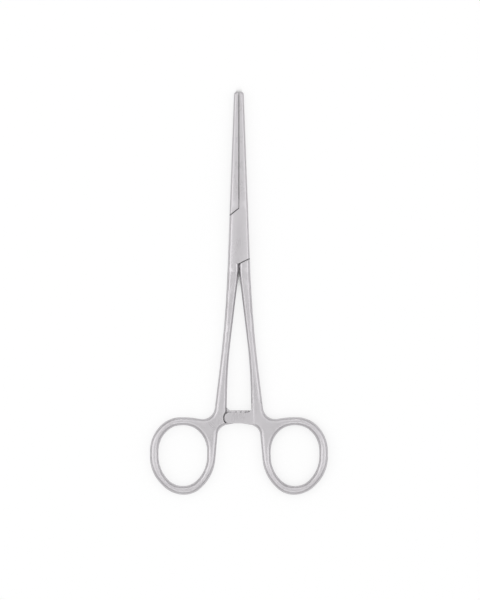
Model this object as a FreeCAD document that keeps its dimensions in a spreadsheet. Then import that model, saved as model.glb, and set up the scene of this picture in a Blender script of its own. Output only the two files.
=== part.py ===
"""Straight haemostat forceps with a box lock, finger rings and a ratchet.

The forceps lie flat, jaws closed. X runs across them, Y runs along them
towards the tips and Z runs up through their thickness. The origin is on the
axis of the pivot, at the underside of the box. Lengths are millimetres.

Three pieces are made: the box half (left ring and shank, box walls and right
jaw), the tongue half (right ring and shank, tongue and left jaw), and the
pivot pin that is riveted flush through both.
"""

import FreeCAD, Part
import math
import os
import Sketcher

Vector = FreeCAD.Vector

# Driving dimensions

SIZES = {
    "overall_length": 160.5,  # tips to the lower sides of the rings
    "overall_width": 70.8,  # over both rings, closed
    "jaw_length": 57.9,  # pivot axis to the tips
    "tip_half_width": 1.89,  # half of the closed pair's width at the tips
    "box_half_width": 4.02,  # half of the closed pair's width at the pivot
    "box_thickness": 5.0,  # over both walls of the box
    "parting_gap": 0.2,  # between the two halves along the centre line
    "seam_gap": 0.2,  # between a box end and the shoulder that it meets
    "jaw_seam_outer": 8.4,  # pivot to the jaw seam, at the side of the box
    "jaw_seam_inner": 11.3,  # pivot to the jaw seam, at the parting line
    "shank_seam_outer": 8.5,  # pivot to the shank seam, at the side of the box
    "shank_seam_inner": 10.6,  # pivot to the shank seam, at the parting line
    "tongue_width": 5.2,  # across the tongue
    "tongue_thickness": 1.9,  # through the tongue
    "tongue_lean": 13.3,  # degrees that the closed tongue leans to the left jaw
    "opening_angle": 40.0,  # degrees from closed to fully open
    "stop_clearance": 0.06,  # tongue to the ends of its slot, closed or open
    "wall_clearance": 0.05,  # tongue to each wall of the box
    "pin_diameter": 2.2,  # pivot pin
    "pin_clearance": 0.04,  # pin to the bore of the tongue, on the radius
    "rivet_diameter": 2.9,  # countersunk end of the pin
    "rivet_depth": 0.4,  # depth of that countersink
    "tip_thickness": 2.2,  # jaws at the tips
    "jaw_taper_start": 13.0,  # pivot to where the jaws begin to thin
    "jaw_taper_round": 100.0,  # radius of the side view there
    "tip_corner": 1.15,  # rounding of the outer corner of a tip
    "jaw_round": 0.95,  # rounding of the jaws' outer edges
    "serration_pitch": 0.8,  # from tooth to tooth along a jaw
    "serration_depth": 0.3,  # depth of the jaw teeth
    "serration_count": 52,  # grooves in one jaw
    "serration_start": 15.2,  # pivot to the first groove
    "crotch_distance": 14.0,  # pivot to where the shanks part
    "crotch_round": 30.0,  # radius of the inner edge at the crotch
    "inner_bend_out_share": 0.2031,  # bend of the inner edge, as a share of the ring's place across
    "inner_bend_down_share": 0.5913,  # the same bend, as a share of the ring's place along
    "inner_bend_round": 200.0,  # radius of that bend
    "outer_bend_out_share": 0.2327,  # bend of the outer edge, as a share of the ring's place across
    "outer_bend_down_share": 0.3697,  # the same bend, as a share of the ring's place along
    "outer_bend_round": 480.0,  # radius of that bend
    "shank_foot_in": 12.15,  # middle of the ring inwards to where the shank's outer edge meets it
    "shank_foot_up": 13.7,  # middle of the ring up to that corner
    "shank_foot_round": 5.0,  # radius of that hollow corner
    "waist_share": 0.482,  # thinnest place of the shank, as a share of the ring's place along
    "waist_thickness": 3.4,  # shank at that place
    "box_taper_start": 13.0,  # pivot to where the shanks begin to thin
    "box_taper_round": 60.0,  # radius of the side view where the thinning begins
    "waist_round": 250.0,  # radius of the side view at the waist
    "shank_round": 1.3,  # rounding of the edges of shanks and rings
    "root_in": 17.3,  # middle of the ring inwards to the shank's corner at the ratchet
    "root_up": 12.3,  # middle of the ring up to that corner
    "root_round": 1.2,  # radius of that corner
    "arch_in": 14.05,  # middle of the ring inwards to the hollow corner of the arch
    "arch_up": 11.05,  # middle of the ring up to that corner
    "arch_round": 4.5,  # radius of that corner
    "ring_half_width": 13.05,  # middle of the ring to its outer side
    "ring_top": 15.25,  # middle of the ring to its upper side
    "ring_bottom": 15.5,  # middle of the ring to its lower side
    "ring_thickness": 3.6,  # ring and the foot of the shank
    "ring_flat_up": 24.1,  # middle of the ring up to where the shank is as thick as the ring
    "ring_shoulder_cut": 7.55,  # corner taken off the ring, upper outer
    "ring_heel_cut": 8.7,  # corner taken off the ring, lower outer
    "ring_arch_cut": 8.5,  # corner taken off the ring, lower inner
    "ring_shoulder_top_round": 11.0,  # radius where the top turns to the shoulder
    "ring_shoulder_side_round": 14.4,  # radius where the shoulder turns to the side
    "ring_heel_side_round": 15.4,  # radius where the side turns to the heel
    "ring_heel_bottom_round": 11.6,  # radius where the heel turns to the bottom
    "ring_arch_bottom_round": 9.6,  # radius where the bottom turns to the arch
    "ring_arch_side_round": 17.0,  # radius where the ring turns up to the web
    "ring_dip_in": 2.85,  # middle of the ring inwards to where its top starts to dip
    "ring_dip_round": 30.0,  # radius of that turn
    "hole_half_width": 9.72,  # middle of the ring to the side of its hole
    "hole_half_height": 12.15,  # middle of the ring to the top of its hole
    "hole_upper_cut": 5.77,  # corner taken off the hole, above
    "hole_lower_cut": 6.35,  # corner taken off the hole, below
    "hole_top_round": 8.6,  # radius of the upper end of the hole
    "hole_upper_side_round": 11.0,  # radius of the hole's side, above
    "hole_lower_side_round": 13.5,  # radius of the hole's side, below
    "hole_bottom_round": 7.9,  # radius of the lower end of the hole
    "bar_entry": 0.65,  # free end of a ratchet bar past the edge of the other shank
    "bar_far_up": 12.95,  # middle of the ring up to the far edge of both bars
    "upper_bar_height": 4.3,  # height of the upper bar along the forceps
    "lower_bar_height": 5.0,  # height of the lower bar along the forceps
    "bar_thickness": 1.7,  # a ratchet bar with its teeth
    "bar_end_round": 1.9,  # rounding of the free end of a bar
    "bar_root_round": 2.0,  # hollow corner at the root of a bar, near edge
    "bar_arch_start": 1.5,  # centre line to where a bar's far edge begins to arch
    "bar_arch_round": 14.0,  # radius of that turn
    "bar_end_gap": 0.5,  # bar end to the recess in the other shank
    "bar_side_gap": 0.2,  # bar edges to the same recess
    "ratchet_pitch": 2.0,  # from tooth to tooth along a bar
    "ratchet_depth": 0.65,  # height of the ratchet teeth
    "ratchet_teeth": 3,  # teeth on one bar
    "ratchet_clearance": 0.1,  # tooth tips of one bar to those of the other
}

PLAIN_RUN_SHARE = 0.98
"""Share of a side that the two roundings at its ends may use together."""

FIRST_FLAT = 1 - math.tan(math.radians(22.5))
SECOND_FLAT = math.tan(math.radians(22.5)) - math.tan(math.radians(11.25))
"""Flats that touch a rounding of radius 1: chamfer of the edge, then of the new edge."""

LEVEL_NORMAL = 0.98
"""Least upward part of the normal of an upper or lower face."""

PLAN_TOLERANCE = 1e-3
START, END = 1, 2
"""Sketch numbers of the two ends of a line or arc."""

doc = FreeCAD.newDocument("haemostat_forceps")
sheet = doc.addObject("Spreadsheet::Sheet", "Sizes")
for row, (name, value) in enumerate(SIZES.items(), start=1):
    sheet.set("A%d" % row, name)
    sheet.set("B%d" % row, str(value))
    sheet.setAlias("B%d" % row, name)
doc.recompute()


def worth(expression):
    """Return the number that an expression on the sheet comes to."""
    return float(sheet.evalExpression(expression.replace("$", "Sizes.")))


def terms(text):
    """Write sheet names into an expression: every $name becomes its cell."""
    return text.replace("$", "Sizes.")


MIDDLE = terms("$box_thickness / 2")
HALF_GAP = terms("$parting_gap / 2")

# Places that follow from the sizes: the middle of a ring and what lies beside it

RING_OUT = terms("($overall_width / 2 - $ring_half_width)")
RING_DOWN = terms("($overall_length - $jaw_length - $ring_bottom)")
ROOT_OUT = terms("(%s - $root_in)" % RING_OUT)
ARCH_OUT = terms("(%s - $arch_in)" % RING_OUT)
ARCH_DOWN = terms("(%s - $arch_up)" % RING_DOWN)
BAR_FAR = terms("(%s - $bar_far_up)" % RING_DOWN)
BAR_REACH = terms("(%s + $bar_entry)" % ROOT_OUT)


def edge_at(along):
    """Half width of the closed pair, at a distance along it from the pivot."""
    slope = "($box_half_width - $tip_half_width) / $jaw_length"
    return terms("($box_half_width - %s * (%s))" % (slope, along))


# Sketches


def new_sketch(body, name, plane, lift=None):
    """Add a sketch to a body on one of its origin planes, lifted along its normal."""
    sketch = body.newObject("Sketcher::SketchObject", name)
    support = [item for item in body.Origin.OriginFeatures if item.Role == plane][0]
    sketch.AttachmentSupport = [(support, "")]
    sketch.MapMode = "FlatFace"
    if lift is not None:
        sketch.setExpression("AttachmentOffset.Base.z", terms(lift))
    doc.recompute()
    return sketch


def tie(sketch, constraint, expression):
    """Add a constraint with a value and bind that value to the sheet."""
    index = sketch.addConstraint(constraint)
    sketch.setExpression("Constraints[%d]" % index, expression)


def corner_lengths(points, radii):
    """Return each corner's turn and tangent length, kept within its two sides."""
    count = len(points)
    turns = []
    lengths = []
    for index, point in enumerate(points):
        arrive = point.sub(points[index - 1]).normalize()
        leave = points[(index + 1) % count].sub(point).normalize()
        turn = math.atan2(arrive.cross(leave).z, arrive.dot(leave))
        turns.append(turn)
        lengths.append(radii[index] * math.tan(abs(turn) / 2))
    kept = list(lengths)
    for index in range(count):
        following = (index + 1) % count
        side = points[following].sub(points[index]).Length * PLAIN_RUN_SHARE
        both = lengths[index] + lengths[following]
        if both > side:
            kept[index] = min(kept[index], lengths[index] * side / both)
            kept[following] = min(kept[following], lengths[following] * side / both)
    return turns, kept


def draw_outline(sketch, corners):
    """Draw a closed outline of straight sides and rounded corners.

    Each corner is (x, y, radius) in expressions on the sheet, with None as
    the radius of a sharp corner. A rounding is limited by its sides.
    """
    corners = [(terms(x), terms(y), radius and terms(radius)) for x, y, radius in corners]
    points = [Vector(worth(x), worth(y), 0) for x, y, radius in corners]
    wanted = [worth(radius) if radius else 0.0 for x, y, radius in corners]
    turns, lengths = corner_lengths(points, wanted)
    count = len(points)
    up = Vector(0, 0, 1)
    starts = []
    arcs = []
    for index, point in enumerate(points):
        arrive = point.sub(points[index - 1]).normalize()
        leave = points[(index + 1) % count].sub(point).normalize()
        first = point - arrive * lengths[index]
        last = point + leave * lengths[index]
        starts.append((first, last))
        if not wanted[index]:
            arcs.append(None)
            continue
        radius = lengths[index] / math.tan(abs(turns[index]) / 2)
        side = 1 if turns[index] > 0 else -1
        centre = first + up.cross(arrive) * (side * radius)
        begin, end = (first, last) if side > 0 else (last, first)
        angles = [math.atan2((spot - centre).y, (spot - centre).x) for spot in (begin, end)]
        arc = Part.ArcOfCircle(Part.Circle(centre, up, radius), angles[0], angles[1])
        arcs.append((sketch.addGeometry(arc), side, radius))
    lines = []
    for index in range(count):
        segment = Part.LineSegment(starts[index][1], starts[(index + 1) % count][0])
        lines.append(sketch.addGeometry(segment))
    for index, (x, y, radius) in enumerate(corners):
        before, after = lines[index - 1], lines[index]
        if arcs[index] is None:
            sketch.addConstraint(Sketcher.Constraint("Coincident", before, END, after, START))
            mark = (after, START)
        else:
            arc, side, shown = arcs[index]
            begin, end = (START, END) if side > 0 else (END, START)
            vertex = sketch.addGeometry(Part.Point(points[index]), True)
            mark = (vertex, START)
            sketch.addConstraint([
                Sketcher.Constraint("PointOnObject", vertex, START, before),
                Sketcher.Constraint("PointOnObject", vertex, START, after),
                Sketcher.Constraint("Tangent", before, END, arc, begin),
                Sketcher.Constraint("Tangent", arc, end, after, START),
            ])
            limited = shown < wanted[index] * (1 - 1e-9)
            bound = "min(%s; %.4f)" % (radius, shown) if limited else radius
            tie(sketch, Sketcher.Constraint("Radius", arc, shown), bound)
        tie(sketch, Sketcher.Constraint("DistanceX", -1, 1, *mark, points[index].x), x)
        tie(sketch, Sketcher.Constraint("DistanceY", -1, 1, *mark, points[index].y), y)


# Features


def pad(body, sketch, length):
    """Pad a sketch upwards by a length from the sheet."""
    feature = body.newObject("PartDesign::Pad", sketch.Name + "Pad")
    feature.Profile = sketch
    feature.setExpression("Length", terms(length))
    doc.recompute()
    return feature


def pocket(body, sketch, length, both_sides=True, upwards=False):
    """Cut a sketch into the body, on both sides of its plane or on one."""
    before = len(body.Shape.Vertexes)
    feature = body.newObject("PartDesign::Pocket", sketch.Name + "Cut")
    feature.Profile = sketch
    feature.SideType = "Symmetric" if both_sides else "One side"
    feature.Reversed = upwards
    feature.setExpression("Length", terms(length))
    doc.recompute()
    if len(body.Shape.Vertexes) == before:
        raise RuntimeError(sketch.Name + " cuts nothing")
    return feature


def rows(body, feature, axis, spacing, occurrences, backwards=False):
    """Repeat a feature along an axis of its sketch and make it the tip."""
    pattern = body.newObject("PartDesign::LinearPattern", feature.Name + "Row")
    pattern.Originals = [feature]
    pattern.Direction = (feature.Profile[0], [axis])
    pattern.Reversed = backwards
    pattern.Mode = "Spacing"
    pattern.setExpression("Offset", terms(spacing))
    pattern.setExpression("Occurrences", terms(occurrences))
    body.Tip = pattern
    doc.recompute()
    return pattern


def lean_of(face):
    """Return how far a face points up or down, from 0 for a wall to 1."""
    low_u, high_u, low_v, high_v = face.ParameterRange
    return abs(face.normalAt((low_u + high_u) / 2, (low_v + high_v) / 2).z)


def chamfer(body, name, chosen, size):
    """Chamfer the edges of the body's tip that a test chooses."""
    base = body.Tip
    leans = {}
    for face in base.Shape.Faces:
        lean = lean_of(face)
        for edge in face.Edges:
            leans.setdefault(edge.hashCode(), []).append(lean)
    edges = []
    for number, edge in enumerate(base.Shape.Edges, start=1):
        if chosen(edge, sorted(leans[edge.hashCode()])):
            edges.append("Edge%d" % number)
    feature = body.newObject("PartDesign::Chamfer", name)
    feature.Base = (base, edges)
    feature.setExpression("Size", terms(size))
    doc.recompute()
    return feature


def round_edges(body, name, sharp, within, radius):
    """Round rim edges in two flats that touch the rounding, so facets stay few.

    Edges over the sharp path stay as they are, and so do those for which
    within says no.
    """
    def rim(edge, leans):
        upright = leans[0] < 1 - LEVEL_NORMAL and leans[-1] > LEVEL_NORMAL
        return upright and within(middle_of(edge)) and not lies_on(middle_of(edge), sharp)

    def flat_edge(edge, leans):
        slanted = 1 - LEVEL_NORMAL < leans[0] < LEVEL_NORMAL < leans[-1]
        return slanted and within(middle_of(edge))

    chamfer(body, name, rim, "%s * %.5f" % (radius, FIRST_FLAT))
    return chamfer(body, name + "Soft", flat_edge, "%s * %.5f" % (radius, SECOND_FLAT))


# The two halves: one outline serves both, mirrored across the centre line


def arm_corners(side):
    """Corners of a shank and its ring, from the crotch round to the box side.

    The side is -1 for the left arm and 1 for the right one.
    """
    def across(distance):
        return "%d * (%s)" % (side, distance)

    ring_side = "$overall_width / 2"
    top = "-%s + $ring_top" % RING_DOWN
    bottom = "-%s - $ring_bottom" % RING_DOWN
    inner_side = "(%s - $ring_half_width)" % RING_OUT
    inner_cut = inner_side + " + $ring_arch_cut"
    # The arch runs down to the ring's inner side and meets its lower inner cut
    lean = "((%s - %s) / (%s - %s))" % (inner_side, ARCH_OUT, RING_DOWN, ARCH_DOWN)
    offset = "((%s) + (%s))" % (inner_cut, bottom)
    low_down = "((%s - %s * %s - %s) / (1 - %s))" % (ARCH_OUT, lean, ARCH_DOWN, offset, lean)
    low_out = "(%s + %s)" % (offset, low_down)
    return [
        (across(HALF_GAP), "-$crotch_distance", "$crotch_round"),
        (across("$inner_bend_out_share * " + RING_OUT),
         "-$inner_bend_down_share * " + RING_DOWN, "$inner_bend_round"),
        (across(ROOT_OUT), "-%s + $root_up" % RING_DOWN, "$root_round"),
        (across(ARCH_OUT), "-" + ARCH_DOWN, "$arch_round"),
        (across(low_out), "-1 * " + low_down, "$ring_arch_side_round"),
        (across(inner_cut), bottom, "$ring_arch_bottom_round"),
        (across(ring_side + " - $ring_heel_cut"), bottom, "$ring_heel_bottom_round"),
        (across(ring_side), bottom + " + $ring_heel_cut", "$ring_heel_side_round"),
        (across(ring_side), top + " - $ring_shoulder_cut", "$ring_shoulder_side_round"),
        (across(ring_side + " - $ring_shoulder_cut"), top, "$ring_shoulder_top_round"),
        (across(RING_OUT + " - $ring_dip_in"), top, "$ring_dip_round"),
        (across(RING_OUT + " - $shank_foot_in"),
         "-%s + $shank_foot_up" % RING_DOWN, "$shank_foot_round"),
        (across("$outer_bend_out_share * " + RING_OUT),
         "-$outer_bend_down_share * " + RING_DOWN, "$outer_bend_round"),
    ]


def jaw_corners(side):
    """Corners of a jaw's tip, from its outer side to its inner one."""
    tip = edge_at("$jaw_length")
    return [
        ("%d * %s" % (side, tip), "$jaw_length", "$tip_corner"),
        ("%d * %s" % (side, HALF_GAP), "$jaw_length", None),
    ]


def cut_side_view(body, name, stations):
    """Cut upper and lower faces to a side view, given from one end to the other.

    Each station is (y, thickness, radius) in expressions on the sheet.
    """
    sketch = new_sketch(body, name, "YZ_Plane")
    for sign in (1, -1):
        face = []
        for along, thickness, radius in stations:
            face.append((along, "%s + %d * (%s) / 2" % (MIDDLE, sign, thickness), radius))
        outside = "%s + %d * $box_thickness" % (MIDDLE, sign)
        ends = [(stations[-1][0], outside, None), (stations[0][0], outside, None)]
        draw_outline(sketch, face + ends)
    return pocket(body, sketch, "2 * $overall_width")


def thin_arm(body, name):
    """Thin an arm from the box down to the waist of its shank, and at its ring."""
    return cut_side_view(body, name, [
        ("$jaw_length", "$box_thickness", None),
        ("-$box_taper_start", "$box_thickness", "$box_taper_round"),
        ("-$waist_share * " + RING_DOWN, "$waist_thickness", "$waist_round"),
        ("-%s + $ring_flat_up" % RING_DOWN, "$ring_thickness", "$waist_round"),
        ("-%s - 2 * $ring_bottom" % RING_DOWN, "$ring_thickness", None),
    ])


def thin_jaw(body, name):
    """Thin a jaw from the box to its tip."""
    slope = "($box_thickness - $tip_thickness) / ($jaw_length - $jaw_taper_start)"
    beyond = "$box_thickness"
    return cut_side_view(body, name, [
        ("$jaw_length + %s" % beyond, "$tip_thickness - %s * %s" % (beyond, slope), None),
        ("$jaw_taper_start", "$box_thickness", "$jaw_taper_round"),
        ("$jaw_taper_start / 2", "$box_thickness", None),
    ])


def cut_ring_hole(body, name, side):
    """Cut the finger hole of a ring."""
    sketch = new_sketch(body, name, "XY_Plane")
    wide = "$hole_half_width"
    tall = "$hole_half_height"
    quarter = [
        (wide, "%s - $hole_upper_cut" % tall, 1, "$hole_upper_side_round"),
        ("%s - $hole_upper_cut" % wide, tall, 1, "$hole_top_round"),
    ]
    lower = [
        ("%s - $hole_lower_cut" % wide, tall, -1, "$hole_bottom_round"),
        (wide, "%s - $hole_lower_cut" % tall, -1, "$hole_lower_side_round"),
    ]
    ring = []
    for hand, corners in ((1, quarter), (-1, quarter[::-1]), (-1, lower[::-1]), (1, lower)):
        for out, up, sense, radius in corners:
            x = "%d * %s + %d * (%s)" % (side, RING_OUT, hand, out)
            y = "-%s + %d * (%s)" % (RING_DOWN, sense, up)
            ring.append((x, y, radius))
    draw_outline(sketch, ring)
    return pocket(body, sketch, "4 * $box_thickness")


def add_bar(body, name, side, height, lift):
    """Add a ratchet bar, with its flared root, to the arm on one side."""
    near = "(%s - %s)" % (BAR_FAR, height)
    # The hidden corners lie inside the shank
    inside_out = "(%s + 2 * $bar_root_round)" % ROOT_OUT
    flare = "(%s - 2 * $bar_root_round)" % near
    sketch = new_sketch(body, name, "XY_Plane", lift)
    corners = [
        (ROOT_OUT, "-" + near, "$bar_root_round"),
        ("-" + BAR_REACH, "-" + near, "$bar_end_round"),
        ("-" + BAR_REACH, "-" + BAR_FAR, "$bar_end_round"),
        ("$bar_arch_start", "-" + BAR_FAR, "$bar_arch_round"),
        (ROOT_OUT, "-%s + $root_up" % RING_DOWN, None),
        (inside_out, "-" + BAR_FAR, None),
        (inside_out, "-" + flare, None),
        (ROOT_OUT, "-" + flare, None),
    ]
    draw_outline(sketch, [("%d * (%s)" % (side, x), y, radius) for x, y, radius in corners])
    return pad(body, sketch, "$bar_thickness")


def cut_recess(body, name, side, height, upwards):
    """Cut the recess that takes the end of the other half's bar."""
    edge = "%s + $bar_end_gap" % BAR_REACH
    beyond = "-1 * (%s + $box_thickness)" % BAR_REACH
    first = "-(%s - %s - $bar_side_gap)" % (BAR_FAR, height)
    last = "-(%s + $bar_side_gap)" % BAR_FAR
    level = MIDDLE + " %s $ratchet_clearance / 2" % ("-" if upwards else "+")
    sketch = new_sketch(body, name, "XY_Plane", level)
    draw_outline(sketch, [
        ("%d * (%s)" % (side, edge), first, "$bar_end_round"),
        ("%d * (%s)" % (side, edge), last, "$bar_end_round"),
        ("%d * (%s)" % (side, beyond), last, None),
        ("%d * (%s)" % (side, beyond), first, None),
    ])
    return pocket(body, sketch, "$box_thickness", both_sides=False, upwards=upwards)


def cut_ratchet(body, name, side, sense):
    """Cut the saw teeth of a bar and the lead-in at its free end.

    The sense is 1 where the teeth point up and -1 where they point down. The
    upright face of each tooth is the one that the other bar would pull on.
    """
    tips = "%s - %d * $ratchet_clearance / 2" % (MIDDLE, sense)
    roots = "%s - %d * ($ratchet_clearance / 2 + $ratchet_depth)" % (MIDDLE, sense)
    over = "%s + %d * $ratchet_clearance" % (MIDDLE, sense)
    first = "$ratchet_pitch * $ratchet_teeth / 2"
    sketch = new_sketch(body, name, "XZ_Plane")
    draw_outline(sketch, [
        ("%d * (%s)" % (side, first), tips, None),
        ("%d * (%s - $ratchet_pitch)" % (side, first), roots, None),
        ("%d * (%s - $ratchet_pitch)" % (side, first), over, None),
        ("%d * (%s)" % (side, first), over, None),
    ])
    groove = pocket(body, sketch, "2 * $overall_length")
    rows(body, groove, "H_Axis", "$ratchet_pitch", "$ratchet_teeth", backwards=side > 0)
    lead = new_sketch(body, name + "Lead", "XZ_Plane")
    draw_outline(lead, [
        ("%d * (-1 * (%s))" % (side, first), over, None),
        ("%d * (-1 * (%s))" % (side, first), tips, None),
        ("%d * (-1 * %s)" % (side, BAR_REACH), roots, None),
        ("%d * (-1 * %s - $box_thickness)" % (side, BAR_REACH), roots, None),
        ("%d * (-1 * %s - $box_thickness)" % (side, BAR_REACH), over, None),
    ])
    return pocket(body, lead, "2 * $overall_length")


def cut_serrations(body, name, side):
    """Cut the cross teeth of a jaw, the two jaws half a tooth apart."""
    shift = "$serration_start" if side > 0 else "$serration_start + $serration_pitch / 2"
    face = "%d * (%s - $serration_depth / 2)" % (side, HALF_GAP)
    root = "%d * (%s + $serration_depth / 2)" % (side, HALF_GAP)
    sketch = new_sketch(body, name, "XY_Plane")
    draw_outline(sketch, [
        (face, shift + " - $serration_pitch / 2", None),
        (root, shift, None),
        (face, shift + " + $serration_pitch / 2", None),
    ])
    groove = pocket(body, sketch, "4 * $box_thickness")
    return rows(body, groove, "V_Axis", "$serration_pitch", "$serration_count")


def cut_slot(body, name):
    """Cut the slot of the tongue, whose ends stop it when closed and when open."""
    reach = "(2 * $jaw_seam_inner)"
    off = "($tongue_width / 2 + $stop_clearance)"
    closed = "($tongue_lean * 1deg)"
    wide = "(($tongue_lean + $opening_angle) * 1deg)"
    half = "(($tongue_lean + $opening_angle / 2) * 1deg)"
    apex = "(%s / cos($opening_angle / 2 * 1deg))" % off
    end = [
        ("%s * cos%s - %s * sin%s" % (off, closed, reach, closed),
         "%s * sin%s + %s * cos%s" % (off, closed, reach, closed)),
        ("%s * cos%s" % (apex, half), "%s * sin%s" % (apex, half)),
        ("%s * cos%s + %s * sin%s" % (off, wide, reach, wide),
         "%s * sin%s - %s * cos%s" % (off, wide, reach, wide)),
    ]
    corners = []
    for sense in (1, -1):
        corners += [("%d * (%s)" % (sense, x), "%d * (%s)" % (sense, y), None) for x, y in end]
    sketch = new_sketch(body, name, "XY_Plane", MIDDLE)
    draw_outline(sketch, corners)
    return pocket(body, sketch, "$tongue_thickness + 2 * $wall_clearance")


def pad_tongue(body, name):
    """Add the tongue: a bar that leans across the box from shank to jaw."""
    lean = "($tongue_lean * 1deg)"
    half = "$tongue_width / 2"
    slope = "(($box_half_width - $tip_half_width) / $jaw_length)"
    # Where the sides of the tongue run out to the sides of the closed pair
    excess = "($box_half_width * cos%s - %s)" % (lean, half)
    low = "(-1 * %s / (sin%s - %s * cos%s))" % (excess, lean, slope, lean)
    high = "(%s / (sin%s + %s * cos%s))" % (excess, lean, slope, lean)
    top = "($jaw_seam_inner + $tongue_thickness)"
    bottom = "(-$shank_seam_inner - $tongue_thickness)"
    sketch = new_sketch(body, name, "XY_Plane", MIDDLE + " - $tongue_thickness / 2")
    draw_outline(sketch, [
        (edge_at(bottom), bottom, None),
        (edge_at(low), low, None),
        ("(%s - %s * sin%s) / cos%s" % (half, top, lean, lean), top, None),
        ("-1 * " + edge_at(top), top, None),
        ("-1 * " + edge_at(high), high, None),
        ("(-%s - %s * sin%s) / cos%s" % (half, bottom, lean, lean), bottom, None),
    ])
    return pad(body, sketch, "$tongue_thickness")


def rivet_corners():
    """Half section of the pin: a shank with a countersunk end at each face."""
    return [
        ("0", "0", None),
        ("$rivet_diameter / 2", "0", None),
        ("$pin_diameter / 2", "$rivet_depth", None),
        ("$pin_diameter / 2", "$box_thickness - $rivet_depth", None),
        ("$rivet_diameter / 2", "$box_thickness", None),
        ("0", "$box_thickness", None),
    ]


def turn(body, kind, name):
    """Turn the pin's half section about the pivot axis, to add or to cut."""
    sketch = new_sketch(body, name, "XZ_Plane")
    draw_outline(sketch, rivet_corners())
    feature = body.newObject("PartDesign::" + kind, name + kind)
    feature.Profile = sketch
    feature.ReferenceAxis = (sketch, ["V_Axis"])
    feature.Angle = 360
    doc.recompute()
    return feature


def middle_of(edge):
    """Return the point half way along an edge."""
    return edge.valueAt((edge.FirstParameter + edge.LastParameter) / 2)


def lies_on(spot, path):
    """Tell whether a point lies above or below a path of corners seen in plan."""
    for first, last in zip(path, path[1:]):
        run = last - first
        offset = Vector(spot.x - first.x, spot.y - first.y, 0)
        share = offset.dot(run) / run.dot(run)
        if 0 <= share <= 1 and (offset - run * share).Length < PLAN_TOLERANCE:
            return True
    return False


def plan_points(corners):
    """Return the places of outline corners, as points of the plan."""
    return [Vector(worth(x), worth(y), 0) for x, y, radius in corners]


def add_arm(body, name, side, end):
    """Add a shank with its ring, closed at the box by the given end corners."""
    blank = new_sketch(body, name + "Arm", "XY_Plane")
    draw_outline(blank, arm_corners(side) + end)
    pad(body, blank, "$box_thickness")
    thin_arm(body, name + "ArmSides")
    cut_ring_hole(body, name + "Hole", side)
    round_edges(body, name + "ArmRound", plan_points(end), lambda spot: True, "$shank_round")


def add_jaw(body, name, side, end):
    """Add a jaw, from its tip down to the given end corners, and round it."""
    blank = new_sketch(body, name + "Jaw", "XY_Plane")
    outline = jaw_corners(side) + end
    draw_outline(blank, outline)
    pad(body, blank, "$box_thickness")
    thin_jaw(body, name + "JawSides")
    sharp = plan_points(outline[1:])
    face = worth(HALF_GAP)
    lowest = sharp[-1].y

    def in_jaw(spot):
        return spot.x * side > face and spot.y > lowest

    round_edges(body, name + "JawRound", sharp, in_jaw, "$jaw_round")


def box_half():
    """Left ring and shank, both walls of the box, and the right jaw."""
    body = doc.addObject("PartDesign::Body", "box_half")
    jaw_edge = edge_at("$jaw_seam_outer")
    slope = "(($jaw_seam_inner - $jaw_seam_outer) / (%s + %s))" % (jaw_edge, HALF_GAP)
    add_arm(body, "BoxHalf", -1, [
        ("-1 * " + jaw_edge, "$jaw_seam_outer", None),
        ("-1 * " + HALF_GAP, "$jaw_seam_inner - 2 * %s * %s" % (HALF_GAP, slope), None),
    ])
    # The walls reach over the arm as far as its inner rounding takes material off
    cover = "(%s + $shank_round + $parting_gap)" % HALF_GAP
    add_jaw(body, "BoxHalf", 1, [
        (HALF_GAP, "$jaw_seam_inner", None),
        ("-1 * " + cover, "$jaw_seam_inner - (%s + %s) * %s" % (cover, HALF_GAP, slope), None),
        ("-1 * " + cover, "-$shank_seam_inner", None),
        ("-1 * " + HALF_GAP, "-$shank_seam_inner", None),
        (edge_at("-$shank_seam_outer"), "-$shank_seam_outer", None),
    ])
    cut_slot(body, "BoxHalfSlot")
    turn(body, "Groove", "BoxHalfPinHole")
    cut_recess(body, "BoxHalfRecess", -1, "$upper_bar_height", True)
    lower = MIDDLE + " - $ratchet_clearance / 2 - $bar_thickness"
    add_bar(body, "BoxHalfBar", -1, "$lower_bar_height", lower)
    cut_ratchet(body, "BoxHalfRatchet", -1, 1)
    cut_serrations(body, "BoxHalfTeeth", 1)
    return body


def tongue_half():
    """Right ring and shank, the tongue through the box, and the left jaw."""
    body = doc.addObject("PartDesign::Body", "tongue_half")
    add_arm(body, "TongueHalf", 1, [
        (edge_at("-$shank_seam_outer"), "-$shank_seam_outer - $seam_gap", None),
        (HALF_GAP, "-$shank_seam_inner - $seam_gap", None),
    ])
    pad_tongue(body, "TongueHalfTongue")
    add_jaw(body, "TongueHalf", -1, [
        ("-1 * " + HALF_GAP, "$jaw_seam_inner + $seam_gap", None),
        ("-1 * " + edge_at("$jaw_seam_outer"), "$jaw_seam_outer + $seam_gap", None),
    ])
    bore = new_sketch(body, "TongueHalfBore", "XY_Plane")
    radius = terms("$pin_diameter / 2 + $pin_clearance")
    circle = bore.addGeometry(Part.Circle(Vector(0, 0, 0), Vector(0, 0, 1), worth(radius)))
    bore.addConstraint(Sketcher.Constraint("Coincident", circle, 3, -1, 1))
    tie(bore, Sketcher.Constraint("Radius", circle, worth(radius)), radius)
    pocket(body, bore, "4 * $box_thickness")
    cut_recess(body, "TongueHalfRecess", 1, "$lower_bar_height", False)
    upper = MIDDLE + " + $ratchet_clearance / 2"
    add_bar(body, "TongueHalfBar", 1, "$upper_bar_height", upper)
    cut_ratchet(body, "TongueHalfRatchet", 1, -1)
    cut_serrations(body, "TongueHalfTeeth", -1)
    return body


def pivot_pin():
    """The pin, riveted into countersinks and ground flush with both faces."""
    body = doc.addObject("PartDesign::Body", "pivot_pin")
    turn(body, "Revolution", "PivotPin")
    return body


pieces = [box_half(), tongue_half(), pivot_pin()]
for body in pieces:
    body.Label = body.Name
    body.Placement = FreeCAD.Placement()
doc.recompute()

# Every object must be sound before anything is written

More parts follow.
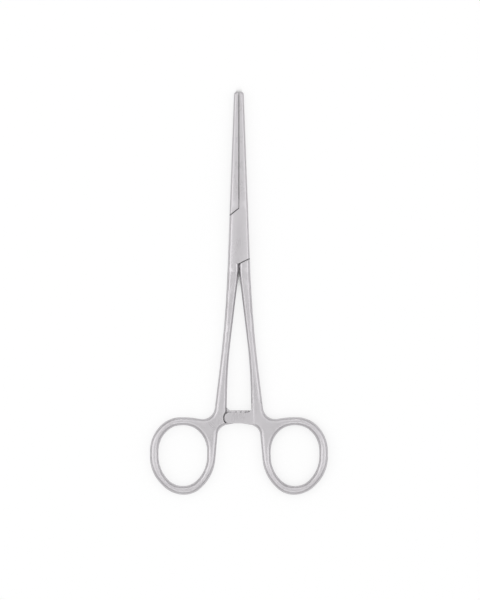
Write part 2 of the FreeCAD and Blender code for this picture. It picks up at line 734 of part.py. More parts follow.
for item in doc.Objects:
    if "Invalid" in item.State or "Error" in item.State:
        raise RuntimeError(item.Label + " failed")
for body in pieces:
    if body.Shape.isNull() or not body.Shape.isValid():
        raise RuntimeError(body.Label + " is not a valid shape")

os.makedirs("parts", exist_ok=True)
for body in pieces:
    body.Shape.exportStep("parts/%s.step" % body.Label)
    print(body.Label, len(body.Shape.Solids), "solid", round(body.Shape.Volume, 2), "mm3")
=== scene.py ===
"""Looks of a straight haemostat forceps: satin steel halves, riveted pin, studio.

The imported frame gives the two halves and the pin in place. This script gives
them their finishes and softened edges, covers the slots that the cut of the
ratchet teeth leaves in each half, and sets a plain pale studio round them with
a camera that looks straight down on the lying forceps. Lengths are metres, X
runs across the forceps, Y along them towards the tips, Z upwards.
"""

import logging
from dataclasses import dataclass, field
from enum import Enum
from math import radians

import bmesh
import bpy
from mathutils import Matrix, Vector


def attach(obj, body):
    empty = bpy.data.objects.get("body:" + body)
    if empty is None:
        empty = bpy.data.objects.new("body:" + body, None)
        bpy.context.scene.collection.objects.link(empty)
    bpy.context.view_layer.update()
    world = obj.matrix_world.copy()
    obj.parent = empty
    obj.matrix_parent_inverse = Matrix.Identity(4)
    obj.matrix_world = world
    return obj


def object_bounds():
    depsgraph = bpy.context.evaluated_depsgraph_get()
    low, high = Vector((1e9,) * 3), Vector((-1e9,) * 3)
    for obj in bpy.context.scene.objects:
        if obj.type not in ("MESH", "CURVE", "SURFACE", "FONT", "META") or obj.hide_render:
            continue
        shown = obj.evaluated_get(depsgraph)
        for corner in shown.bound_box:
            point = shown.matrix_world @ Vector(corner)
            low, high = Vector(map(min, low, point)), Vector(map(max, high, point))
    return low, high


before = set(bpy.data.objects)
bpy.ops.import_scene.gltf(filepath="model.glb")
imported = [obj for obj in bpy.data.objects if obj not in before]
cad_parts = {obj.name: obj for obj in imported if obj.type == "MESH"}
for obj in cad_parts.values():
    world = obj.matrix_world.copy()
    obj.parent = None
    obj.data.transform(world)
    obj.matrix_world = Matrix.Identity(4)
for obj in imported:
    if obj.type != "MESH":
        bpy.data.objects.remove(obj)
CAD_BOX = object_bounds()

LOG = logging.getLogger("forceps")
MM = 0.001
FRAME_PIXELS = (480, 600)
MIDDLE_HEIGHT = 2.5 * MM

JOIN_DISTANCE = 1e-6
CUT_TOLERANCE = 1e-8
SHARP_DEGREES = 50.0
SLOPE_DEGREES = 2.5
LEVEL_DEGREES = 0.2

Span = tuple[float, float]
Point = tuple[float, float, float]
Colour = tuple[float, float, float]
Socket = bpy.types.NodeSocket


class CreviceShadeAmount(Enum):
    """How much painted shade darkens the joints and hollows of a piece."""

    LITTLE = (0.75, 0.0008, 0.85)
    MUCH = (0.85, 0.0024, 0.97)


@dataclass(frozen=True)
class Places:
    """Where the surface of the forceps changes, each span from 0 to full."""

    pin_clear_radius: float = 2.6 * MM
    off_axis: Span = (0.4 * MM, 1.4 * MM)
    shank_to_box: Span = (-45 * MM, -25 * MM)
    below_box: Span = (-10 * MM, -14 * MM)
    above_ring: Span = (-68 * MM, -64 * MM)
    domed: Span = (-24 * MM, -8 * MM)
    ratchet_y: float = -71 * MM
    ratchet_half_height: float = 5 * MM
    ratchet_half_width: float = 8 * MM
    past_flat: Span = (0.12, 0.5)
    open_face: Span = (0.05, 0.3)
    wall_share: float = 0.1
    ring_arc_radius: float = 11 * MM


PLACES = Places()


# Node tools


class Nodes:
    """A node tree that is filled from the left to the right."""

    def __init__(self, tree: bpy.types.NodeTree) -> None:
        """Take the tree to fill.

        Args:
            tree: The node tree of a material, world or group.
        """
        self.tree = tree
        self.column = 0

    def add(self, kind: str, **settings: object) -> bpy.types.Node:
        """Add a node, one column further to the right.

        Args:
            kind: Blender's name of the node type.
            **settings: Values of the node's own properties.

        Returns:
            The new node.
        """
        node = self.tree.nodes.new(kind)
        node.location = (self.column * 190, -(self.column % 3) * 160)
        self.column += 1
        for name, value in settings.items():
            setattr(node, name, value)
        return node

    def join(self, source: Socket, target: Socket) -> None:
        """Link an output to an input.

        Args:
            source: The output.
            target: The input.
        """
        self.tree.links.new(source, target)

    def feed(self, target: Socket, value: object) -> None:
        """Link a socket, or set a plain value, on an input.

        Args:
            target: The input to feed.
            value: Another node's output, or a number or tuple.
        """
        if isinstance(value, bpy.types.NodeSocket):
            self.join(value, target)
        else:
            target.default_value = value

    def maths(self, operation: str, *values: object, clamp: bool = False) -> Socket:
        """Combine numbers with one operation.

        Args:
            operation: Blender's name of the operation.
            *values: Outputs or numbers, one for each input.
            clamp: Whether the result stays between 0 and 1.

        Returns:
            The output with the result.
        """
        node = self.add("ShaderNodeMath", operation=operation, use_clamp=clamp)
        for target, value in zip(node.inputs, values):
            self.feed(target, value)
        return node.outputs[0]

    def ramp(self, value: Socket, low: object, high: object) -> Socket:
        """Map a range of a value smoothly to 0 to 1.

        Args:
            value: The output to map.
            low: Output or number that becomes 0.
            high: Output or number that becomes 1.

        Returns:
            The mapped output.
        """
        node = self.add("ShaderNodeMapRange", interpolation_type="SMOOTHSTEP")
        for label, given in (("Value", value), ("From Min", low), ("From Max", high)):
            self.feed(node.inputs[label], given)
        return node.outputs["Result"]

    def blend(self, share: object, first: object, second: object) -> Socket:
        """Mix two numbers by a share.

        Args:
            share: 0 gives the first number and 1 the second.
            first: Output or number at share 0.
            second: Output or number at share 1.

        Returns:
            The mixed output.
        """
        node = self.add("ShaderNodeMix", data_type="FLOAT")
        self.feed(node.inputs[0], share)
        self.feed(node.inputs[2], first)
        self.feed(node.inputs[3], second)
        return node.outputs[0]

    def tint(self, share: object, first: object, second: object) -> Socket:
        """Mix two colours by a share, as blend does with numbers.

        Args:
            share: 0 gives the first colour and 1 the second.
            first: Output or colour at share 0.
            second: Output or colour at share 1.

        Returns:
            The mixed output.
        """
        node = self.add("ShaderNodeMix", data_type="RGBA")
        self.feed(node.inputs[0], share)
        self.feed(node.inputs[6], first)
        self.feed(node.inputs[7], second)
        return node.outputs[2]


def new_group(
    name: str, inputs: dict[str, float], output: str, kind: str = "NodeSocketFloat"
) -> tuple[Nodes, bpy.types.Node, bpy.types.Node]:
    """Start a shader node group of numbers in and one mask or normal out.

    Args:
        name: Name of the group.
        inputs: Name and first value of each number that goes in.
        output: Name of what comes out.
        kind: Blender's name of the output's socket type.

    Returns:
        The group's nodes, its input node and its output node.
    """
    tree = bpy.data.node_groups.new(name, "ShaderNodeTree")
    for label, value in inputs.items():
        socket = tree.interface.new_socket(label, in_out="INPUT", socket_type="NodeSocketFloat")
        socket.default_value = value
    tree.interface.new_socket(output, in_out="OUTPUT", socket_type=kind)
    nodes = Nodes(tree)
    return nodes, nodes.add("NodeGroupInput"), nodes.add("NodeGroupOutput")


class SteelEffects:
    """Node groups that every steel finish shares, each built once."""

    def __init__(self) -> None:
        """Build the groups."""
        self.grain = self._grain()
        self.lines_along = self._lines_along_and_round_ring()
        self.handling = self._handling()
        self.rim = self._rim()
        self.crevice_shade = self._crevice_shade()
        self.crown = self._crown()

    def _grain(self) -> bpy.types.NodeTree:
        """Build the fine matt grain of a blasted and brushed surface.

        Returns:
            A group with a Height between 0 and 1.
        """
        nodes, given, out = new_group("blasted_grain", {"Grains per metre": 9000.0}, "Height")
        place = nodes.add("ShaderNodeTexCoord").outputs["Object"]
        coarse = nodes.add("ShaderNodeTexNoise")
        nodes.join(place, coarse.inputs["Vector"])
        nodes.join(given.outputs["Grains per metre"], coarse.inputs["Scale"])
        coarse.inputs["Detail"].default_value = 3.0
        coarse.inputs["Roughness"].default_value = 0.62
        nodes.join(coarse.outputs[0], out.inputs["Height"])
        return nodes.tree

    def _lines_along_and_round_ring(self) -> bpy.types.NodeTree:
        """Build polishing lines that run along a half and round its ring.

        Returns:
            A group with Lines between 0 and 1.
        """
        inputs = {
            "Lines per metre": 5200.0,
            "Stretch": 0.012,
            "Ring X": 0.0,
            "Ring Y": 0.0,
            "Ring reach": 0.019,
        }
        nodes, given, out = new_group("lines_along", inputs, "Lines")
        place = nodes.add("ShaderNodeTexCoord").outputs["Object"]
        parts = nodes.add("ShaderNodeSeparateXYZ")
        nodes.join(place, parts.inputs[0])
        across, along, upward = parts.outputs
        straight = nodes.add("ShaderNodeCombineXYZ")
        nodes.join(across, straight.inputs[0])
        nodes.feed(straight.inputs[1], nodes.maths("MULTIPLY", along, given.outputs["Stretch"]))
        nodes.join(upward, straight.inputs[2])
        from_x = nodes.maths("SUBTRACT", across, given.outputs["Ring X"])
        from_y = nodes.maths("SUBTRACT", along, given.outputs["Ring Y"])
        across_squared = nodes.maths("POWER", from_x, 2.0)
        along_squared = nodes.maths("POWER", from_y, 2.0)
        distance = nodes.maths("SQRT", nodes.maths("ADD", across_squared, along_squared))
        angle = nodes.maths("ARCTAN2", from_y, from_x)
        arc = nodes.maths("MULTIPLY", angle, PLACES.ring_arc_radius)
        arc = nodes.maths("MULTIPLY", arc, given.outputs["Stretch"])
        bent = nodes.add("ShaderNodeCombineXYZ")
        nodes.join(distance, bent.inputs[0])
        nodes.join(arc, bent.inputs[1])
        nodes.join(upward, bent.inputs[2])
        near_ring = nodes.maths("LESS_THAN", distance, given.outputs["Ring reach"])
        chosen = nodes.add("ShaderNodeMix", data_type="VECTOR")
        nodes.join(near_ring, chosen.inputs[0])
        nodes.join(straight.outputs[0], chosen.inputs[4])
        nodes.join(bent.outputs[0], chosen.inputs[5])
        streaks = nodes.add("ShaderNodeTexNoise")
        nodes.join(chosen.outputs[1], streaks.inputs["Vector"])
        nodes.join(given.outputs["Lines per metre"], streaks.inputs["Scale"])
        streaks.inputs["Detail"].default_value = 4.0
        streaks.inputs["Roughness"].default_value = 0.7
        nodes.join(streaks.outputs[0], out.inputs["Lines"])
        return nodes.tree

    def _handling(self) -> bpy.types.NodeTree:
        """Build the broad unevenness that polishing by hand and use leave.

        Returns:
            A group with a Mask between 0 and 1.
        """
        nodes, given, out = new_group("handling", {"Patches per metre": 140.0}, "Mask")
        place = nodes.add("ShaderNodeTexCoord").outputs["Object"]
        patches = nodes.add("ShaderNodeTexNoise")
        nodes.join(place, patches.inputs["Vector"])
        nodes.join(given.outputs["Patches per metre"], patches.inputs["Scale"])
        patches.inputs["Detail"].default_value = 2.0
        nodes.join(nodes.ramp(patches.outputs[0], 0.32, 0.68), out.inputs["Mask"])
        return nodes.tree

    def _clear_of_pin(self, nodes: Nodes, place: Socket) -> Socket:
        """Find where the surface is clear of the pin, which is ground flush.

        Args:
            nodes: The nodes to add to.
            place: The point of the surface.

        Returns:
            0 over the pin and its hole and 1 beyond.
        """
        flat = nodes.add("ShaderNodeVectorMath", operation="MULTIPLY")
        nodes.join(place, flat.inputs[0])
        flat.inputs[1].default_value = (1.0, 1.0, 0.0)
        distance = nodes.add("ShaderNodeVectorMath", operation="LENGTH")
        nodes.join(flat.outputs[0], distance.inputs[0])
        return nodes.maths("GREATER_THAN", distance.outputs["Value"], PLACES.pin_clear_radius)

    def _less_on_walls(self, nodes: Nodes, reach: Socket) -> Socket:
        """Shorten a rounding on upright walls, behind which thin steel can end.

        Args:
            nodes: The nodes to add to.
            reach: The rounding's reach on open faces.

        Returns:
            The reach, a tenth of it on upright walls.
        """
        surface = nodes.add("ShaderNodeNewGeometry")
        facing = nodes.add("ShaderNodeSeparateXYZ")
        nodes.join(surface.outputs["Normal"], facing.inputs[0])
        open_face = nodes.ramp(nodes.maths("ABSOLUTE", facing.outputs[2]), *PLACES.open_face)
        return nodes.maths("MULTIPLY", reach, nodes.blend(open_face, PLACES.wall_share, 1.0))

    def _rim(self) -> bpy.types.NodeTree:
        """Build the mask of edges, where the finish is rubbed smoother and painted shade darkens the
        colour.

        Returns:
            A group with a Mask that is 1 on an edge and 0 on open faces.
        """
        nodes, given, out = new_group("rim", {"Width": 0.0004}, "Mask")
        place = nodes.add("ShaderNodeTexCoord").outputs["Object"]
        rounded = nodes.add("ShaderNodeBevel", samples=4)
        width = nodes.maths("MULTIPLY", given.outputs["Width"], self._clear_of_pin(nodes, place))
        nodes.join(self._less_on_walls(nodes, width), rounded.inputs["Radius"])
        surface = nodes.add("ShaderNodeNewGeometry")
        likeness = nodes.add("ShaderNodeVectorMath", operation="DOT_PRODUCT")
        nodes.join(rounded.outputs[0], likeness.inputs[0])
        nodes.join(surface.outputs["Normal"], likeness.inputs[1])
        turned = nodes.maths("SUBTRACT", 1.0, likeness.outputs["Value"])
        nodes.join(nodes.ramp(turned, 0.01, 0.22), out.inputs["Mask"])
        return nodes.tree

    def _crevice_shade(self) -> bpy.types.NodeTree:
        """Build the mask of painted shade in joints and corners that are shut in.

        Returns:
            A group with a Mask that is 1 deep in a joint and 0 in the open.
        """
        inputs = {"Reach": 0.0008, "Open from": 0.85}
        nodes, given, out = new_group("crevice_shade", inputs, "Mask")
        shut_in = nodes.add("ShaderNodeAmbientOcclusion", samples=8)
        nodes.join(given.outputs["Reach"], shut_in.inputs["Distance"])
        openness = nodes.ramp(shut_in.outputs["AO"], 0.2, given.outputs["Open from"])
        nodes.join(nodes.maths("SUBTRACT", 1.0, openness), out.inputs["Mask"])
        return nodes.tree

    def _crown(self) -> bpy.types.NodeTree:
        """Build the normal of a surface that polishing leaves crowned.

        Rings are crowned over most of their width, and so are the outer halves
        of the shanks, while their inner halves are nearly flat. The box and
        the jaws are ground with one shallow dome across both halves.

        Returns:
            A group with the crowned Normal.
        """
        inputs = {
            "Reach at axis": 0.0002,
            "Reach at box": 0.0006,
            "Reach at shanks": 0.0012,
            "Reach at ratchet": 0.0005,
            "Dome per metre": 22.0,
            "Side": 1.0,
        }
        nodes, given, out = new_group("crown", inputs, "Normal", "NodeSocketVector")
        place = nodes.add("ShaderNodeTexCoord").outputs["Object"]
        parts = nodes.add("ShaderNodeSeparateXYZ")
        nodes.join(place, parts.inputs[0])
        across, along, _ = parts.outputs
        off_axis = nodes.ramp(nodes.maths("ABSOLUTE", across), *PLACES.off_axis)
        reach = nodes.blend(off_axis, given.outputs["Reach at axis"], given.outputs["Reach at box"])
        at_box = nodes.ramp(along, *PLACES.shank_to_box)
        reach = nodes.blend(at_box, given.outputs["Reach at shanks"], reach)
        between = nodes.maths("LESS_THAN", nodes.maths("ABSOLUTE", across), PLACES.ratchet_half_width)
        level = nodes.maths("COMPARE", along, PLACES.ratchet_y, PLACES.ratchet_half_height)
        at_ratchet = nodes.maths("MULTIPLY", between, level)
        reach = nodes.blend(at_ratchet, reach, given.outputs["Reach at ratchet"])
        reach = nodes.maths("MULTIPLY", reach, self._clear_of_pin(nodes, place))
        rounded = nodes.add("ShaderNodeBevel", samples=8)
        nodes.join(self._less_on_walls(nodes, reach), rounded.inputs["Radius"])
        own = nodes.add("ShaderNodeVectorTransform", convert_from="WORLD", convert_to="OBJECT")
        nodes.join(rounded.outputs[0], own.inputs[0])
        leans = nodes.add("ShaderNodeSeparateXYZ")
        nodes.join(own.outputs[0], leans.inputs[0])
        outward = nodes.maths("MULTIPLY", leans.outputs[0], given.outputs["Side"])
        inward = nodes.maths("LESS_THAN", outward, 0.0)
        below_box = nodes.ramp(along, *PLACES.below_box)
        above_ring = nodes.ramp(along, *PLACES.above_ring)
        on_shank = nodes.maths("MULTIPLY", below_box, above_ring)
        flattened = nodes.maths("MULTIPLY", inward, on_shank)
        past_flat = nodes.ramp(nodes.maths("ABSOLUTE", leans.outputs[0]), *PLACES.past_flat)
        kept = nodes.blend(flattened, 1.0, past_flat)
        dome = nodes.maths("MULTIPLY", across, given.outputs["Dome per metre"])
        dome = nodes.maths("MULTIPLY", dome, nodes.ramp(along, *PLACES.domed))
        lean = nodes.add("ShaderNodeCombineXYZ")
        nodes.join(nodes.maths("MULTIPLY_ADD", leans.outputs[0], kept, dome), lean.inputs[0])
        nodes.join(leans.outputs[1], lean.inputs[1])
        nodes.join(leans.outputs[2], lean.inputs[2])
        turned = nodes.add("ShaderNodeVectorTransform", convert_from="OBJECT", convert_to="WORLD")
        nodes.join(lean.outputs[0], turned.inputs[0])
        unit = nodes.add("ShaderNodeVectorMath", operation="NORMALIZE")
        nodes.join(turned.outputs[0], unit.inputs[0])
        nodes.join(unit.outputs[0], out.inputs["Normal"])
        return nodes.tree


def soft_flats() -> bpy.types.NodeTree:
    """Build the modifier that joins face borders and keeps some edges sharp.

    Steep edges stay sharp, and so do the shallow ones where a long flat face
    changes its slope, whose light would otherwise smear over the whole face.

    Returns:
        A geometry node group for a modifier.
    """
    tree = bpy.data.node_groups.new("soft_flats", "GeometryNodeTree")
    tree.interface.new_socket("Mesh", in_out="INPUT", socket_type="NodeSocketGeometry")
    tree.interface.new_socket("Mesh", in_out="OUTPUT", socket_type="NodeSocketGeometry")
    nodes = Nodes(tree)
    given, out = nodes.add("NodeGroupInput"), nodes.add("NodeGroupOutput")
    joined = nodes.add("GeometryNodeMergeByDistance")
    joined.inputs["Distance"].default_value = JOIN_DISTANCE
    turn = nodes.add("GeometryNodeInputMeshEdgeAngle").outputs["Unsigned Angle"]
    steep = nodes.maths("GREATER_THAN", turn, radians(SHARP_DEGREES))
    above_none = nodes.maths("GREATER_THAN", turn, radians(LEVEL_DEGREES))
    shallow = nodes.maths("MULTIPLY", above_none, nodes.maths("LESS_THAN", turn, radians(SLOPE_DEGREES)))
    parted = nodes.maths("MAXIMUM", steep, shallow)
    flat = nodes.add("GeometryNodeSetShadeSmooth", domain="EDGE")
    flat.inputs["Shade Smooth"].default_value = False
    nodes.join(given.outputs[0], joined.inputs["Geometry"])
    nodes.join(joined.outputs[0], flat.inputs["Geometry"])
    nodes.join(parted, flat.inputs["Selection"])
    nodes.join(flat.outputs[0], out.inputs[0])
    return tree


# Finishes


@dataclass(frozen=True)
class SatinSteel:
    """Stainless steel, blasted matt and brushed, with smoother edges that carry painted shade."""

    name: str
    colour: Colour = (0.665, 0.645, 0.665)
    rim_shade_colour: Colour = (0.60, 0.585, 0.60)
    # Colour that painted shade in shut-in crevices darkens towards.
    crevice_shade_colour: Colour = (0.07, 0.065, 0.07)
    crevice_shade_amount: CreviceShadeAmount = CreviceShadeAmount.LITTLE
    roughness: float = 0.25
    rim_roughness: float = 0.24
    dull_share: float = 0.93
    patch_share: float = 0.5
    patch_roughness: float = 0.05
    line_roughness: float = 0.07
    grain_height: float = 0.000004
    line_height: float = 0.000003
    ring_centre: Span = (0.0, 0.0)
    side: float = 1.0

    def material(self, effects: SteelEffects) -> bpy.types.Material:
        """Build the material.

        Args:
            effects: The shared node groups.

        Returns:
            The finished material.
        """
        made = bpy.data.materials.new(self.name)
        made.use_nodes = True
        made.node_tree.nodes.clear()
        nodes = Nodes(made.node_tree)
        grain = nodes.add("ShaderNodeGroup", node_tree=effects.grain)
        lines = nodes.add("ShaderNodeGroup", node_tree=effects.lines_along)
        lines.inputs["Ring X"].default_value = self.ring_centre[0]
        lines.inputs["Ring Y"].default_value = self.ring_centre[1]
        handling = nodes.add("ShaderNodeGroup", node_tree=effects.handling)
        rim = nodes.add("ShaderNodeGroup", node_tree=effects.rim)
        line_mask = nodes.ramp(lines.outputs["Lines"], 0.3, 0.7)
        pale = (*self.colour, 1.0)
        dull = (*(part * self.dull_share for part in self.colour), 1.0)
        streaked = nodes.tint(line_mask, pale, dull)
        handled = handling.outputs["Mask"]
        patched = nodes.tint(nodes.maths("MULTIPLY", handled, self.patch_share), streaked, dull)
        # Painted shade: edges are darkened towards the rim colour; only their slightly smoother
        # roughness is real.
        coloured = nodes.tint(rim.outputs["Mask"], patched, (*self.rim_shade_colour, 1.0))
        # Painted shade: joints and hollows that ambient occlusion finds shut in are darkened towards the
        # shade colour.
        darkness, reach, open_from = self.crevice_shade_amount.value
        crevice_shade = nodes.add("ShaderNodeGroup", node_tree=effects.crevice_shade)
        crevice_shade.inputs["Reach"].default_value = reach
        crevice_shade.inputs["Open from"].default_value = open_from
        crevice_shaded = nodes.maths("MULTIPLY", crevice_shade.outputs["Mask"], darkness)
        coloured = nodes.tint(crevice_shaded, coloured, (*self.crevice_shade_colour, 1.0))
        uneven = nodes.maths("MULTIPLY_ADD", handled, self.patch_roughness, self.roughness)
        rough = nodes.maths("MULTIPLY_ADD", line_mask, self.line_roughness, uneven)
        rough = nodes.blend(rim.outputs["Mask"], rough, self.rim_roughness)
        grain_bump = nodes.add("ShaderNodeBump")
        grain_bump.inputs["Strength"].default_value = 1.0
        grain_bump.inputs["Distance"].default_value = self.grain_height
        nodes.join(grain.outputs["Height"], grain_bump.inputs["Height"])
        crown = nodes.add("ShaderNodeGroup", node_tree=effects.crown)
        crown.inputs["Side"].default_value = self.side
        nodes.join(crown.outputs["Normal"], grain_bump.inputs["Normal"])
        line_bump = nodes.add("ShaderNodeBump")
        line_bump.inputs["Strength"].default_value = 1.0
        line_bump.inputs["Distance"].default_value = self.line_height
        nodes.join(lines.outputs["Lines"], line_bump.inputs["Height"])
        nodes.join(grain_bump.outputs[0], line_bump.inputs["Normal"])
        shader = nodes.add("ShaderNodeBsdfPrincipled")
        shader.inputs["Metallic"].default_value = 1.0
        nodes.join(coloured, shader.inputs["Base Color"])
        nodes.join(rough, shader.inputs["Roughness"])
        nodes.join(line_bump.outputs[0], shader.inputs["Normal"])
        output = nodes.add("ShaderNodeOutputMaterial")
        nodes.join(shader.outputs[0], output.inputs["Surface"])
        return made


# The object


@dataclass
class SteelPiece:
    """One forged piece of the forceps, with its finish."""

    node: str
    finish: SatinSteel

    def dress(self, effects: SteelEffects, flats: bpy.types.NodeTree) -> None:
        """Give the piece its finish, and light that runs evenly over its edges.

        Args:
            effects: The shared node groups.
            flats: The modifier that keeps the steep and the shallow edges sharp.
        """
        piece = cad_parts[self.node]
        material = self.finish.material(effects)
        for slot in piece.material_slots:
            slot.material = material
        piece.modifiers.new("soft_flats", "NODES").node_group = flats
        piece.modifiers.new("even_light", "WEIGHTED_NORMAL").keep_sharp = True
        LOG.info("%s: %s, %d faces", self.node, material.name, len(piece.data.polygons))


@dataclass(frozen=True)
class Core:
    """Filling that covers the slots in a half, which its solid still has.

    The cut of the ratchet teeth runs on from the bar through the half's jaw,
    its upper shank and, in the tongue half, the tongue. The core hides that.
    It has the outline of the half just beside the cut, a hair smaller, and
    reaches through the cut into the steel on its other side. The distances
    near and far are from the middle height, and the sense says on which side
    of it the outline is taken.
    """

    node: str
    body: str
    sense: int
    near: float = 0.15 * MM
    far: float = 0.72 * MM
    far_at_tips: float = 0.57 * MM
    tips_from: float = 36 * MM
    tips_full: float = 40 * MM
    last_y: float = -42 * MM
    inset: float = 0.012 * MM

    def dress(self) -> None:
        """Add the core to the scene, in the finish of its half."""
        mesh = bpy.data.meshes.new(f"{self.node}_core")
        shape = self._outline()
        self._thicken(shape)
        shape.to_mesh(mesh)
        shape.free()
        core = bpy.data.objects.new(f"{self.node}_core", mesh)
        bpy.context.scene.collection.objects.link(core)
        mesh.materials.append(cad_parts[self.node].material_slots[0].material)
        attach(core, self.body)
        LOG.info("%s: %d faces", core.name, len(mesh.polygons))

    def _outline(self) -> bmesh.types.BMesh:
        """Cut the half at a level beside the slots and fill the outline.

        Returns:
            The flat outline, a hair smaller than the half.
        """
        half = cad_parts[self.node]
        shape = bmesh.new()
        shape.from_mesh(half.data)
        shape.transform(half.matrix_world)
        bmesh.ops.remove_doubles(shape, verts=shape.verts, dist=JOIN_DISTANCE)
        level = MIDDLE_HEIGHT + self.sense * self.near
        self._cut(shape, (0.0, 0.0, level), (0.0, 0.0, 1.0), clear_inner=True, clear_outer=True)
        bmesh.ops.triangle_fill(
            shape, edges=shape.edges[:], use_beauty=True, use_dissolve=False, normal=(0.0, 0.0, 1.0)
        )
        self._cut(shape, (0.0, self.last_y, 0.0), (0.0, 1.0, 0.0), clear_inner=True)
        rim = bmesh.ops.inset_region(
            shape,
            faces=shape.faces[:],
            thickness=self.inset,
            use_boundary=True,
            use_even_offset=True,
        )
        bmesh.ops.delete(shape, geom=rim["faces"], context="FACES")
        for y in (self.tips_from, self.tips_full):
            self._cut(shape, (0.0, y, 0.0), (0.0, 1.0, 0.0))
        return shape

    def _cut(self, shape: bmesh.types.BMesh, place: Point, across: Point, **cleared: bool) -> None:
        """Cut all of a shape with a plane.

        Args:
            shape: The shape to cut.
            place: A point of the plane.
            across: The direction square to the plane.
            **cleared: Which side is taken away.
        """
        geom = shape.verts[:] + shape.edges[:] + shape.faces[:]
        bmesh.ops.bisect_plane(
            shape, geom=geom, dist=CUT_TOLERANCE, plane_co=place, plane_no=across, **cleared
        )

    def _thicken(self, shape: bmesh.types.BMesh) -> None:
        """Give the flat outline its thickness, less of it towards the tips.

        Args:
            shape: The flat outline, changed in place.
        """
        grown = bmesh.ops.extrude_face_region(shape, geom=shape.faces[:])
        span = self.tips_full - self.tips_from
        for part in grown["geom"]:
            if isinstance(part, bmesh.types.BMVert):
                share = min(max((part.co.y - self.tips_from) / span, 0.0), 1.0)
                reach = self.far + share * (self.far_at_tips - self.far)
                part.co.z = MIDDLE_HEIGHT - self.sense * reach
        bmesh.ops.recalc_face_normals(shape, faces=shape.faces[:])
        self._settle_order(shape)

    def _settle_order(self, shape: bmesh.types.BMesh) -> None:
        """Put points and faces in the order of their places, the same in each run.

        Args:
            shape: The shape, changed in place.
        """
        points = sorted(shape.verts, key=lambda point: tuple(point.co))
        faces = sorted(shape.faces, key=lambda face: tuple(face.calc_center_median()))
        for sequence, settled in ((shape.verts, points), (shape.faces, faces)):
            rank = {part: number for number, part in enumerate(settled)}
            sequence.sort(key=lambda part: rank[part])


@dataclass
class Forceps:
    """The whole instrument: two halves and the pin that joins them."""

    ring_out: float = 22.35 * MM
    ring_down: float = 87.1 * MM
    pieces: list[SteelPiece] = field(default_factory=list)
    cores: list[Core] = field(default_factory=list)

    def __post_init__(self) -> None:
        """List the pieces with their finishes."""
        left = SatinSteel("satin_steel_left", ring_centre=(-self.ring_out, -self.ring_down), side=-1.0)
        # The right half takes more painted shade in its crevices than the left.
        right = SatinSteel(
            "satin_steel_right", crevice_shade_amount=CreviceShadeAmount.MUCH, ring_centre=(self.ring_out, -self.ring_down)
        )
        flush = SatinSteel("satin_steel_pin", ring_centre=left.ring_centre)
        self.pieces = [
            SteelPiece("box_half", left),
            SteelPiece("tongue_half", right),
            SteelPiece("pivot_pin", flush),
        ]
        self.cores = [Core("box_half", "box_side", 1), Core("tongue_half", "tongue_side", -1)]

    def dress(self) -> None:
        """Dress every piece."""
        effects = SteelEffects()
        flats = soft_flats()
        for piece in self.pieces:
            piece.dress(effects, flats)
        for core in self.cores:
            core.dress()


# The studio


@dataclass(frozen=True)
class SoftBox:
    """A rectangular soft lamp that faces a point of the forceps."""

    name: str
    place: Point
    width: float
    height: float
    watts: float
    aim: Point = (0.0, -0.025, 0.0)

    def light(self) -> None:
        """Add the lamp to the scene."""
        lamp = bpy.data.lights.new(self.name, "AREA")
        lamp.shape = "RECTANGLE"
        lamp.size = self.width
        lamp.size_y = self.height
        lamp.energy = self.watts
        holder = bpy.data.objects.new(self.name, lamp)
        holder.location = self.place
        toward = Vector(self.aim) - Vector(self.place)
        holder.rotation_euler = toward.to_track_quat("-Z", "Y").to_euler()
        bpy.context.scene.collection.objects.link(holder)
        LOG.info("%s: %.1f W", self.name, self.watts)


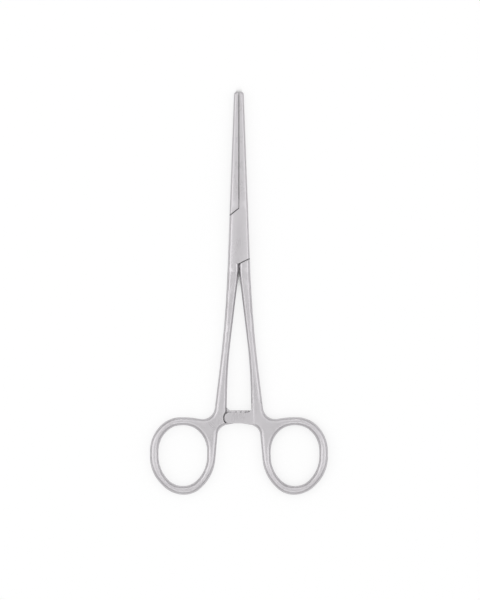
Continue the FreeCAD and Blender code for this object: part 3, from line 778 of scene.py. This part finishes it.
@dataclass
class Studio:
    """A white table under soft light, and the camera over it."""

    camera_height: float = 1.2
    aim: Span = (0.00044, -0.0251)
    frame_height: float = 0.2391
    sensor: float = 36.0
    floor_half: float = 4.0
    floor_colour: Colour = (0.9, 0.9, 0.9)
    seen_colour: Colour = (0.3, 0.3, 0.3)
    seen_lift: float = 0.74
    lift_between_shanks: Span = (0.04, 0.18)
    lift_beside_jaws: Span = (0.28, 0.5)
    lift_under_line: Span = (0.5, 0.9)
    tent_at_foot: float = 0.58
    tent_overhead: float = 0.54
    tent_overhead_from: float = 0.75
    shade_reach: float = 5 * MM
    crotch_y: float = -10.5 * MM
    parting_reach: float = 1.2 * MM
    lamps: list[SoftBox] = field(default_factory=lambda: [
        SoftBox("left_panel", (-0.95, 0.0, 1.5), 1.1, 1.6, 5.2),
        SoftBox("right_panel", (0.95, 0.0, 1.5), 1.1, 1.6, 4.4),
        SoftBox("head_panel", (0.0, 0.95, 1.5), 0.8, 1.0, 2.2),
        SoftBox("foot_panel", (0.0, -0.95, 1.5), 0.8, 1.0, 1.9),
    ])

    def place_camera(self) -> None:
        """Hang the camera over the forceps, the tips at the top of its picture."""
        view = bpy.data.cameras.new("camera")
        view.sensor_width = self.sensor
        distance = self.camera_height - MIDDLE_HEIGHT
        view.lens = self.sensor * distance / self.frame_height
        view.clip_start = 0.01
        view.clip_end = 50.0
        holder = bpy.data.objects.new("camera", view)
        holder.location = (*self.aim, self.camera_height)
        bpy.context.scene.collection.objects.link(holder)
        bpy.context.scene.camera = holder
        LOG.info("camera: %.1f mm lens, %d x %d picture", view.lens, *FRAME_PIXELS)

    def lay_floor(self) -> None:
        """Lay the white table top that the box touches."""
        half = self.floor_half
        corners = [(-half, -half, 0.0), (half, -half, 0.0), (half, half, 0.0), (-half, half, 0.0)]
        mesh = bpy.data.meshes.new("floor")
        mesh.from_pydata(corners, [], [(0, 1, 2, 3)])
        floor = bpy.data.objects.new("floor", mesh)
        floor.location.z = CAD_BOX[0].z - 0.05 * MM
        bpy.context.scene.collection.objects.link(floor)
        mesh.materials.append(self._floor_material())

    def _floor_material(self) -> bpy.types.Material:
        """Build the table top: matt, and lifted to white where it is looked at. The lift fades where the
        floor is shut in, which paints shade between the shanks and under the parting line.

        Returns:
            The material.
        """
        made = bpy.data.materials.new("white_table")
        made.use_nodes = True
        made.node_tree.nodes.clear()
        nodes = Nodes(made.node_tree)
        path = nodes.add("ShaderNodeLightPath")
        seen = nodes.maths("MAXIMUM", path.outputs["Is Camera Ray"], path.outputs["Is Glossy Ray"])
        seen = nodes.maths("MAXIMUM", seen, path.outputs["Is Transmission Ray"])
        shader = nodes.add("ShaderNodeBsdfPrincipled")
        looked_at = nodes.tint(seen, (*self.floor_colour, 1.0), (*self.seen_colour, 1.0))
        nodes.join(looked_at, shader.inputs["Base Color"])
        shader.inputs["Roughness"].default_value = 0.9
        shader.inputs["Specular IOR Level"].default_value = 0.1
        lift = nodes.add("ShaderNodeEmission")
        lift.inputs["Color"].default_value = (1.0, 1.0, 1.0, 1.0)
        shut_in = nodes.add("ShaderNodeAmbientOcclusion", samples=16)
        shut_in.inputs["Distance"].default_value = self.shade_reach
        openness = shut_in.outputs["AO"]
        place = nodes.add("ShaderNodeTexCoord").outputs["Object"]
        parts = nodes.add("ShaderNodeSeparateXYZ")
        nodes.join(place, parts.inputs[0])
        # Painted shade: the lift is withheld where the floor is shut in, between the shanks and in a
        # strip under the parting line.
        under_jaws = nodes.maths("GREATER_THAN", parts.outputs[1], self.crotch_y)
        between_shanks = nodes.ramp(openness, *self.lift_between_shanks)
        off_line = nodes.maths("ABSOLUTE", parts.outputs[0])
        under_line = nodes.maths("LESS_THAN", off_line, self.parting_reach)
        low, high = (
            nodes.blend(under_line, beside, below)
            for beside, below in zip(self.lift_beside_jaws, self.lift_under_line)
        )
        beside_jaws = nodes.ramp(openness, low, high)
        open_floor = nodes.blend(under_jaws, between_shanks, beside_jaws)
        lifted = nodes.maths("MULTIPLY", nodes.maths("MULTIPLY", seen, open_floor), self.seen_lift)
        nodes.join(lifted, lift.inputs["Strength"])
        total = nodes.add("ShaderNodeAddShader")
        nodes.join(shader.outputs[0], total.inputs[0])
        nodes.join(lift.outputs[0], total.inputs[1])
        output = nodes.add("ShaderNodeOutputMaterial")
        nodes.join(total.outputs[0], output.inputs["Surface"])
        return made

    def wrap_world(self) -> None:
        """Surround the table with a soft tent, a little darker overhead."""
        world = bpy.data.worlds.new("tent")
        bpy.context.scene.world = world
        world.use_nodes = True
        world.node_tree.nodes.clear()
        nodes = Nodes(world.node_tree)
        place = nodes.add("ShaderNodeTexCoord").outputs["Generated"]
        parts = nodes.add("ShaderNodeSeparateXYZ")
        nodes.join(place, parts.inputs[0])
        height = nodes.ramp(parts.outputs[2], 0.0, self.tent_overhead_from)
        tent = nodes.blend(height, self.tent_at_foot, self.tent_overhead)
        path = nodes.add("ShaderNodeLightPath")
        tent = nodes.blend(path.outputs["Is Camera Ray"], tent, 1.0)
        sky = nodes.add("ShaderNodeBackground")
        sky.inputs["Color"].default_value = (1.0, 1.0, 1.0, 1.0)
        nodes.join(tent, sky.inputs["Strength"])
        output = nodes.add("ShaderNodeOutputWorld")
        nodes.join(sky.outputs[0], output.inputs["Surface"])

    def build(self) -> None:
        """Build camera, floor, tent and lamps."""
        self.place_camera()
        self.lay_floor()
        self.wrap_world()
        for lamp in self.lamps:
            lamp.light()
        bpy.context.scene.view_settings.view_transform = "Standard"


def main() -> None:
    """Build the studio and dress the forceps."""
    logging.basicConfig(level=logging.INFO)
    Studio().build()
    Forceps().dress()


if __name__ == "__main__":
    main()
